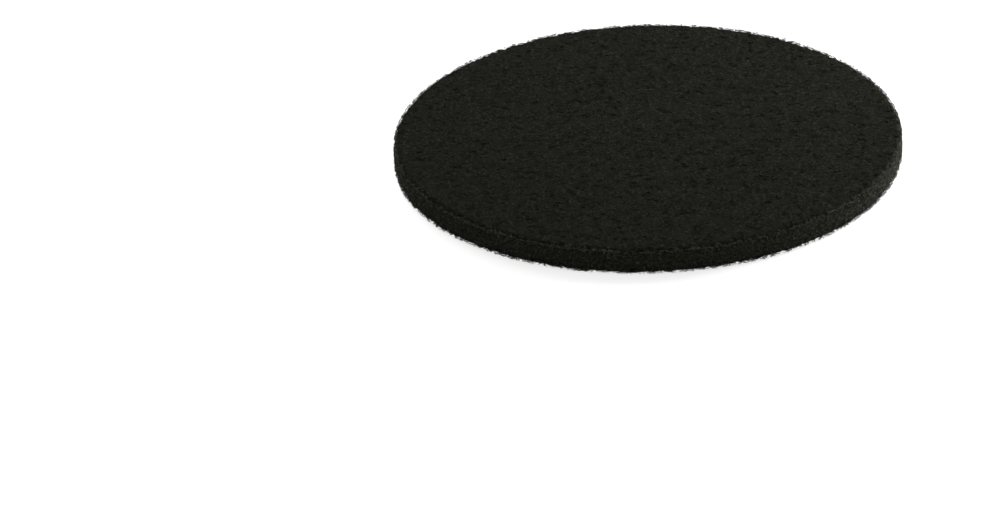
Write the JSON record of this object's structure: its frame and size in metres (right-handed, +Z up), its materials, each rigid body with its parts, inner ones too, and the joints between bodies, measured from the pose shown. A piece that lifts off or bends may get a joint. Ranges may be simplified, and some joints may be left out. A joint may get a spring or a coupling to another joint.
{
  "type": "floor polishing pad",
  "caption": "Round non-woven fibre pad with two flat faces and a ragged die-cut wall, driven under a rotary floor machine to strip, scrub or polish hard floors.",
  "frame": {"origin": "centre of the lower face, on the floor", "axes": "+Z up through the pad's thickness, along its round axis; X and Y lie in the pad's plane and are interchangeable"},
  "size_m": [0.4297, 0.4297, 0.023],
  "materials": {
    "black_web": "matte"
  },
  "bodies": {
    "root": {"polishing_pad": "black_web"}
  },
  "joints": []
}
